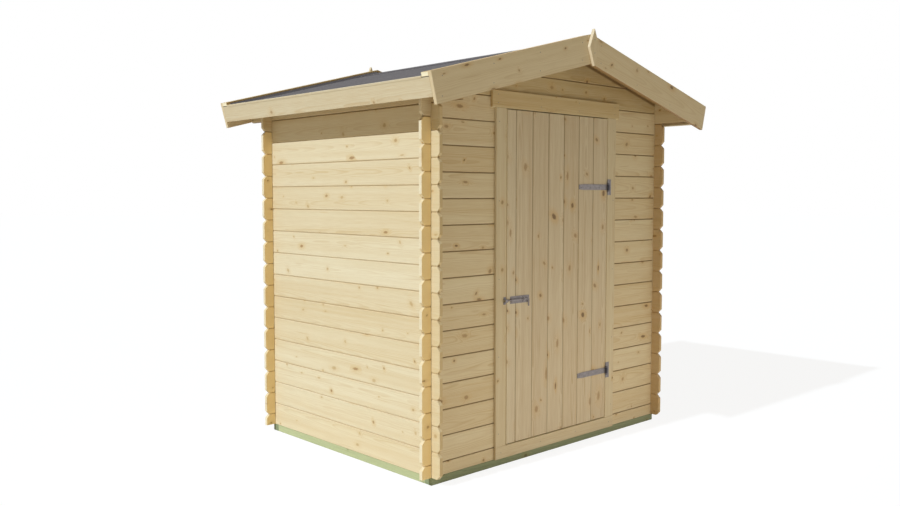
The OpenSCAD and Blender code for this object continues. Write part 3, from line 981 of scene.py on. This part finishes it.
# %% [markdown]
# ## Roofing felt
#
# The roof is covered with mineral felt: bitumen sheet with dark slate granules pressed into its face.
# Up close it glitters a little, from afar it is a dull dark grey with faint streaks where rain runs down.
# Strewn grains would be far too many meshes, so the granules are cells about a millimetre and a half wide,
# each with a grey of its own and a bump.

# %% Dress the felt
granule = 0.0016
felt_dark = paint(62, 58, 60)
felt_light = paint(97, 91, 92)
rain_waves = (1.3, 24)
patch_waves = 3.2
patch_level = 5.0
felt_middle = 0.42
granule_share = 0.6
rain_share = 0.7
patch_share = 0.5
glint_from = 0.93
glint_share = 0.35
granule_bump = 0.6
felt_rough = 0.82
glint_smooth = 0.2
felt_shine = 0.35


def felt(node):
    """Dark granules with rain streaks down the slope and soft patches."""
    material, tree = new_material(f"felt_{node}")
    place = Wire.make(tree, "TexCoord", output="Object")
    x, y, _ = place.parts()
    cell = Wire.make(tree, "TexVoronoi", {"voronoi_dimensions": "3D"},
                     {"Vector": place, "Scale": 1 / granule}, "Distance")
    grey, bright, _ = cell.other("Color").parts()
    rain = mottle(tree, x * rain_waves[0], y * rain_waves[1], 0.0, detail=3.0)
    patch = mottle(tree, x * patch_waves, y * patch_waves, patch_level, detail=3.0)
    share = felt_middle + (grey - 0.5) * granule_share + rain * rain_share + patch * patch_share
    share = share + (bright > glint_from) * glint_share
    colour = blend(felt_dark, felt_light, share.positive().math("MINIMUM", 1.0))
    bump = Wire.make(tree, "Bump", None,
                     {"Strength": granule_bump, "Distance": granule / 2, "Height": 1 - cell})
    skin = {"Base Color": colour, "Roughness": felt_rough - bright * glint_smooth, "Normal": bump,
            "Specular IOR Level": felt_shine}
    show(tree, Wire.make(tree, "BsdfPrincipled", None, skin))
    return material


for node in ("left_roof_felt", "right_roof_felt", "ridge_felt"):
    dress(node, felt(node))
print(f"granules of {granule * 1000:.1f} mm")

# %% [markdown]
# ## Galvanised metal
#
# Hinges, bolt and screws are zinc coated steel: dull grey, with the faint leaf pattern of the zinc,
# and a painted dark, bluish reflection on the knuckles. The cells of a Voronoi pattern give the leaves.
# A knuckle stands further forward than the flat strap, so the depth of a point finds it.

# %% Dress the metal
zinc_leaf = 0.009
zinc_pale = paint(157, 150, 149)
zinc_dark = paint(125, 119, 122)
# Painted dark reflection for the knuckles.
knuckle_reflection_blue = paint(46, 47, 60)
zinc_middle = 0.25
leaf_share = 0.5
rub_waves = 60
rub_share = 1.2
dark_reflection_soft = 0.003
zinc_metal = 0.55
zinc_rough = 0.5
leaf_rough = 0.12
rub_rough = 0.3


def zinc(name, proud=None, dark_reflection=0.0):
    """Zinc coat; metal that stands further forward than proud gets a painted dark reflection."""
    material, tree = new_material(f"zinc_{name}")
    place = Wire.make(tree, "TexCoord", output="Object")
    leaf = Wire.make(tree, "TexVoronoi", {"voronoi_dimensions": "3D"},
                     {"Vector": place, "Scale": 1 / zinc_leaf}, "Color").parts()
    x, y, z = place.parts()
    rub = mottle(tree, x * rub_waves, y * rub_waves, z * rub_waves, detail=4.0)
    share = leaf[0] * leaf_share + rub * rub_share + zinc_middle
    colour = blend(zinc_dark, zinc_pale, share.positive().math("MINIMUM", 1.0))
    if proud is not None:
        # Painted reflection: the knuckles, which stand forward, are darkened to a bluish grey.
        colour = blend(colour, knuckle_reflection_blue, y.rise(proud, proud - dark_reflection_soft) * dark_reflection)
    rough = zinc_rough + leaf[1] * leaf_rough + rub * rub_rough
    skin = {"Base Color": colour, "Metallic": zinc_metal, "Roughness": rough}
    show(tree, Wire.make(tree, "BsdfPrincipled", None, skin))
    return material


strap_sheet = 0.0025
seat_gap = 0.0002
strap_face = leaf_low.y - seat_gap - strap_sheet
knuckle_proud = 0.001
strap_dark_reflection = 0.9
plate_dark_reflection = 0.45
for level in ("upper", "lower"):
    for piece, dark_reflection in (("strap", strap_dark_reflection), ("plate", plate_dark_reflection)):
        node = f"{level}_hinge_{piece}"
        dress(node, zinc(node, strap_face - knuckle_proud, dark_reflection))
for node in ("bolt_plate", "bolt_rod", "bolt_keeper"):
    dress(node, zinc(node))
print(f"hinge metal {strap_sheet * 1000} mm thick")

# %% [markdown]
# ## Soft edges
#
# Planed timber never has knife edges: the plane and the hand take a millimetre off. Edges catch light there.
# The solids come as triangles with split corners, so a Weld joins the corners, a planar Decimate
# joins the triangles of each flat face again, and a Bevel then rounds what is sharp.

# %% Round the edges
edge_of = {"log_pine": 0.0012, "trim_pine": 0.0018, "door_pine": 0.001, "roof_pine": 0.001,
           "treated_wood": 0.003, "zinc": 0.0004}
slot_of = {row["node"]: row["material_slot"] for row in frame["record"]["subparts"]}
corner_reach = 1e-5
flat_angle = math.radians(0.5)
sharp_angle = math.radians(35)
edge_segments = 2

for node, slot in slot_of.items():
    if slot not in edge_of:
        continue
    weld = nodes[node].modifiers.new("join_corners", "WELD")
    weld.merge_threshold = corner_reach
    flat = nodes[node].modifiers.new("join_faces", "DECIMATE")
    flat.decimate_type = "DISSOLVE"
    flat.angle_limit = flat_angle
    soft = nodes[node].modifiers.new("soft_edges", "BEVEL")
    soft.width = edge_of[slot]
    soft.segments = edge_segments
    soft.limit_method = "ANGLE"
    soft.angle_limit = sharp_angle
print(f"edges rounded by {min(edge_of.values()) * 1000} to {max(edge_of.values()) * 1000} mm")

# %% [markdown]
# ## New pieces
#
# What follows has no solid in the CAD model: thin trim and fasteners. Each is one mesh that goes along with a
# body of the shed, so that the screws of the door swing with it. Trim is a section swept straight on:
# two rings of points, a skin between them and a cap at each end.

# %% Make a piece from a mesh
def sweep(mesh, first, last):
    """Join two like rings of points by a skin and close both ends."""
    rings = [[mesh.verts.new(point) for point in ring] for ring in (first, last)]
    for i in range(len(first)):
        mesh.faces.new((rings[0][i - 1], rings[0][i], rings[1][i], rings[1][i - 1]))
    mesh.faces.new(rings[0])
    mesh.faces.new(rings[1])


def add_piece(name, mesh, material, body):
    """A new piece that rides on one body."""
    piece = bpy.data.objects.new(name, bpy.data.meshes.new(name))
    mesh.to_mesh(piece.data)
    mesh.free()
    scene.collection.objects.link(piece)
    piece.data.materials.append(material)
    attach(piece, body)


def finish_of(node):
    """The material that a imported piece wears."""
    return nodes[node].material_slots[0].material


def outer_edge(node, way):
    """How far out a piece reaches on its own side of the shed."""
    low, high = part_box(node)
    return low.x if way < 0 else high.x


print(f"the right fascia reaches {outer_edge('right_fascia', 1):.3f} m out")

# %% [markdown]
# ## Laths over the felt at the eaves
#
# At each eave a slim lath with a lip is nailed over the edge of the felt and hides it, so from below only
# pale wood shows above the fascia. It is drawn as a section and swept between the two verge battens.

# %% Eave laths
felt_thick = 0.0018
lath_wide = 0.022
lath_high = 0.0045
lath_ease = 0.0016
lath_play = 0.0006
lip_wide = 0.0016
lip_foot = 0.0008
lip_drop = 0.005
lath_section = [(-lip_foot, -lip_drop), (-lath_play, -lip_drop), (-lath_play, 0), (lath_wide, 0),
                (lath_wide, lath_high - lath_ease), (lath_wide - lath_ease, lath_high),
                (lath_ease - lip_wide, lath_high), (-lip_wide, lath_high - lath_ease)]


def felt_edge(side, way):
    """The lower edge of a slope's felt, from the corner of its box up to its top face."""
    node = f"{side}_roof_felt"
    corner = Vector((outer_edge(node, way), 0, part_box(node)[0].z))
    return corner + slope(way)[1] * (felt_thick * math.cos(pitch) ** 2)


for side, way in roof_sides:
    down, square = slope(way)
    foot = felt_edge(side, way) + square * lath_play
    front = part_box(f"front_{side}_batten")[1].y + lath_play
    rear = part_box(f"rear_{side}_batten")[0].y - lath_play
    mesh = bmesh.new()
    sweep(mesh, *([foot - down * u + square * v + BACK * y for u, v in lath_section] for y in (front, rear)))
    bmesh.ops.recalc_face_normals(mesh, faces=mesh.faces)
    add_piece(f"{side}_eave_lath", mesh, finish_of(f"{side}_fascia"), "root")
    print(f"{side} eave lath {rear - front:.3f} m long")

# %% [markdown]
# ## Felt turned up at the verges
#
# Along both verges the felt is folded up against the batten over a small fillet, so that rain can't run in.
# The fold is drawn as a low wedge on the inner face of each batten, from the ridge down to the eave lath.
# Over the ridge strip it starts a sheet's thickness higher, because there two sheets lie on each other.

# %% Felt turn-ups
fold_high = 0.011
fold_wide = 0.02
fold_thick = 0.0008
fold_play = 0.0004
strip_reach = 0.165
strip_lift = 0.0026

for side, way in roof_sides:
    down, square = slope(way)
    eave = felt_edge(side, way)
    felt_run = outer_edge(f"{side}_roof_felt", way) * way / math.cos(pitch)
    ridge = eave - down * (felt_run - fold_high)
    strip_end = ridge + down * strip_reach
    lath_edge = eave - down * (lath_wide + lath_play)
    mesh = bmesh.new()
    for end, inward in (("front", 1), ("rear", -1)):
        low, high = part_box(f"{end}_{side}_batten")
        face = high.y if inward > 0 else low.y
        near, far = face + inward * fold_play, face + inward * fold_wide
        for start, stop, foot in ((ridge, strip_end, strip_lift), (strip_end, lath_edge, fold_play)):
            wedge = ((foot, near), (foot, far), (foot + fold_thick, far), (fold_high, near))
            sweep(mesh, *([place + square * v + BACK * y for v, y in wedge] for place in (start, stop)))
    bmesh.ops.recalc_face_normals(mesh, faces=mesh.faces)
    add_piece(f"{side}_felt_turnups", mesh, finish_of(f"{side}_roof_felt"), "root")
    print(f"{side} felt turn-ups {(lath_edge - ridge).length:.3f} m long")

# %% [markdown]
# ## Screws, nails and tacks
#
# The metal is screwed on with small pan head screws, the leaf boards are screwed to the ledges from inside,
# the trims are nailed and the felt is held by broad headed tacks. They are under a pixel from afar, but they
# are what makes a corner look built. Each head is turned from a profile, given in shares of its radius and
# height, and a cross is sunk in the screws.

# %% Shapes of the heads
Head = namedtuple("Head", "radius height profile sunk")
screw_profile = ((1.0, -0.2), (1.0, 0.35), (0.92, 0.72), (0.76, 0.93), (0.6, 1.0))
nail_profile = ((1.0, -0.2), (1.0, 0.3), (0.86, 0.8), (0.5, 1.0))
cross_arm = 0.52
cross_slot = 0.13
recess_taper = 0.8
recess_floor = 0.35


def cross_points(arm, slot, cuts=3):
    """Outline of a cross, each side cut in a few equal parts."""
    corners = []
    for quarter in range(4):
        turn = Matrix.Rotation(quarter * math.pi / 2, 2)
        corners += [turn @ Vector(point) for point in ((arm, slot), (slot, slot), (slot, arm))]
    sides = zip(corners, corners[1:] + corners[:1])
    return [a.lerp(b, i / cuts) for a, b in sides for i in range(cuts)]


def add_head(mesh, place, outward, head):
    """One fastener head on a face; a sunk one has a cross recess."""
    spin = outward.to_track_quat("Z", "Y").to_matrix().to_4x4()
    stand = Matrix.Translation(place) @ spin
    cross = cross_points(cross_arm * head.radius, cross_slot * head.radius)
    loops = [[(p.normalized() * head.radius * wide, head.height * up) for p in cross]
             for wide, up in head.profile]
    if head.sunk:
        loops.append([(p, head.height) for p in cross])
        loops.append([(p * recess_taper, head.height * recess_floor) for p in cross])
    rings = [[mesh.verts.new(stand @ Vector((p.x, p.y, z))) for p, z in loop] for loop in loops]
    for lower, upper in zip(rings, rings[1:]):
        for i in range(len(cross)):
            mesh.faces.new((lower[i - 1], lower[i], upper[i], upper[i - 1]))
    mesh.faces.new(rings[-1])
    mesh.faces.new(reversed(rings[0]))


def fasteners(name, body, places, head):
    """A joined mesh of like heads that rides on one body."""
    mesh = bmesh.new()
    for place, outward in places:
        add_head(mesh, place, outward, head)
    add_piece(name, mesh, zinc(name), body)
    print(f"{name}: {len(places)} heads")


print(f"screw heads turned from {len(screw_profile)} rings, nail heads from {len(nail_profile)}")

# %% [markdown]
# ## Screws of the hinges
#
# Each strap has three screws along its length into the leaf, and each plate three in a column into the post.
# The strap's screws swing with the door and the plate's stay, so they are two pieces on two bodies.

# %% Screws of the hinges
strap_screw_steps = (0.018, 0.095, 0.172)
plate_screw_inset = 0.010
plate_screw_steps = (-0.031, 0, 0.031)
hinge_screw = Head(radius=0.0042, height=0.0018, profile=screw_profile, sunk=True)

strap_screws = []
plate_screws = []
for level in ("upper", "lower"):
    low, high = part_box(f"{level}_hinge_strap")
    middle = (low.z + high.z) / 2
    strap_screws += [(Vector((low.x + step, strap_face, middle)), FRONT) for step in strap_screw_steps]
    plate_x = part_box(f"{level}_hinge_plate")[1].x - plate_screw_inset
    plate_screws += [(Vector((plate_x, strap_face, middle + step)), FRONT) for step in plate_screw_steps]
fasteners("strap_screws", "door", strap_screws, hinge_screw)
fasteners("plate_screws", "root", plate_screws, hinge_screw)

# %% [markdown]
# ## Screws of the bolt
#
# The bolt's plate is held by a screw near each corner, the keeper by one above and one below its slot.
# They are smaller than those of the hinges. The keeper sits on the post, so its screws stay there.

# %% Screws of the bolt and its keeper
bolt_sheet = 0.002
bolt_screw_steps = (0.012, 0.09)
bolt_screw_rise = 0.0122
keeper_screw_rise = 0.0132
bolt_screw = Head(radius=0.0034, height=0.0015, profile=screw_profile, sunk=True)
keeper_screw = Head(radius=0.003, height=0.0014, profile=screw_profile, sunk=True)

bolt_low, bolt_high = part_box("bolt_plate")
bolt_middle = (bolt_low.z + bolt_high.z) / 2
bolt_face = leaf_low.y - seat_gap - bolt_sheet
bolt_screws = [(Vector((bolt_low.x + step, bolt_face, bolt_middle + way * bolt_screw_rise)), FRONT)
               for step in bolt_screw_steps for way in (-1, 1)]
keep_low, keep_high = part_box("bolt_keeper")
keep_x = (keep_low.x + keep_high.x) / 2
keeper_screws = [(Vector((keep_x, bolt_face, bolt_middle + way * keeper_screw_rise)), FRONT)
                 for way in (-1, 1)]
fasteners("bolt_screws", "door", bolt_screws, bolt_screw)
fasteners("keeper_screws", "root", keeper_screws, keeper_screw)

# %% [markdown]
# ## Screws through the ledges
#
# Every board of the leaf is held to each ledge by two screws from inside, set askew so that they don't
# split the ledge along one line of grain.

# %% Screws through the ledges
leaf_board_count = 6
ledge_screw_side = 0.03
ledge_screw_rise = 0.022
ledge_screw = Head(radius=0.004, height=0.0012, profile=screw_profile, sunk=True)

board_middles = [leaf_high.x - (i + 0.5) * leaf_board for i in range(leaf_board_count)]
ledge_screws = [(Vector((x + way * ledge_screw_side, ledge_high.y, z + way * ledge_screw_rise)), BACK)
                for x in board_middles for z in ledge_levels for way in (-1, 1)]
fasteners("ledge_screws", "door", ledge_screws, ledge_screw)

# %% [markdown]
# ## Tacks in the felt
#
# Felt is held along the eave and under the edge of the ridge strip by broad headed tacks,
# a hand apart. Both rows follow the slope, so each tack stands square to it.

# %% Tacks of the felt
tack_step = 0.12
tack_inset = 0.02
eave_tack_inset = 0.045
felt_tack = Head(radius=0.0048, height=0.0012, profile=nail_profile, sunk=False)

strip_low, strip_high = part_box("ridge_felt")
tack_count = int((strip_high.y - strip_low.y) / tack_step)
tack_run = strip_high.y - strip_low.y - 2 * tack_inset
tacks = []
for side, way in roof_sides:
    low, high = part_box(f"{side}_roof_felt")
    eave_row = (max(abs(low.x), abs(high.x)) - eave_tack_inset, high.z)
    strip_row = (strip_high.x - tack_inset, strip_high.z)
    for reach, ridge_height in (eave_row, strip_row):
        height = ridge_height - reach * math.tan(pitch)
        for i in range(tack_count + 1):
            along = strip_low.y + tack_inset + i * tack_run / tack_count
            tacks.append((Vector((way * reach, along, height)), slope(way)[1]))
fasteners("felt_tacks", "root", tacks, felt_tack)

# %% [markdown]
# ## Nails of the barge boards and finials
#
# Barge boards are nailed through their faces in pairs, one near each edge, at even steps down the slope.
# A finial has two nails up its middle. Each nail is set from the box of its board.

# %% Nails of the gable trims
nail_edge = 0.03
barge_wide = 0.14
barge_shares = (0.07, 0.36, 0.65, 0.94)
finial_shares = (0.35, 0.7)

nails = []
barge_height = barge_wide / math.cos(pitch)
for end, outward in (("front", FRONT), ("rear", BACK)):
    for side, way in roof_sides:
        low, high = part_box(f"{end}_{side}_barge")
        face = low.y if end == "front" else high.y
        reach = high.x - low.x
        for share in barge_shares:
            top = high.z - share * reach * math.tan(pitch)
            for drop in (nail_edge, barge_height - nail_edge):
                nails.append((Vector((way * share * reach, face, top - drop)), outward))
    low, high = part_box(f"{end}_finial")
    face = low.y if end == "front" else high.y
    nails += [(Vector((0, face, low.z + share * (high.z - low.z))), outward) for share in finial_shares]
print(f"{len(nails)} nails in the gable trims")

# %% [markdown]
# ## Nails of the fascias and the door frame
#
# A fascia has one row of nails along the middle of its face, which is square to the slope's fall.
# The door's frame is nailed to the logs behind it: the head in two rows, sill board and posts in one.

# %% Nails of the fascias and the frame
fascia_nail_count = 5
frame_shares = (0.04, 0.35, 0.65, 0.96)
head_drops = (0.02, 0.06)
post_nail_inset = 0.02
post_shares = (0.04, 0.27, 0.5, 0.73, 0.96)
trim_nail = Head(radius=0.0022, height=0.0006, profile=nail_profile, sunk=False)

for side, way in roof_sides:
    low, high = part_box(f"{side}_fascia")
    half = (high.z - low.z) / 2
    middle_x = outer_edge(f"{side}_fascia", way) - way * math.sin(pitch) * half
    nail_run = (high.y - low.y - 2 * nail_edge) / (fascia_nail_count - 1)
    nails += [(Vector((middle_x, low.y + nail_edge + i * nail_run, low.z + half)), slope(way)[0])
              for i in range(fascia_nail_count)]
low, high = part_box("door_head")
nails += [(Vector((low.x + share * (high.x - low.x), low.y, high.z - drop)), FRONT)
          for share in frame_shares for drop in head_drops]
low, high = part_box("door_sill_board")
nails += [(Vector((low.x + share * (high.x - low.x), low.y, (low.z + high.z) / 2)), FRONT)
          for share in frame_shares]
for side, way in roof_sides:
    low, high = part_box(f"{side}_door_post")
    post_x = outer_edge(f"{side}_door_post", way) - way * post_nail_inset
    nails += [(Vector((post_x, low.y, low.z + share * (high.z - low.z))), FRONT) for share in post_shares]
fasteners("trim_nails", "root", nails, trim_nail)
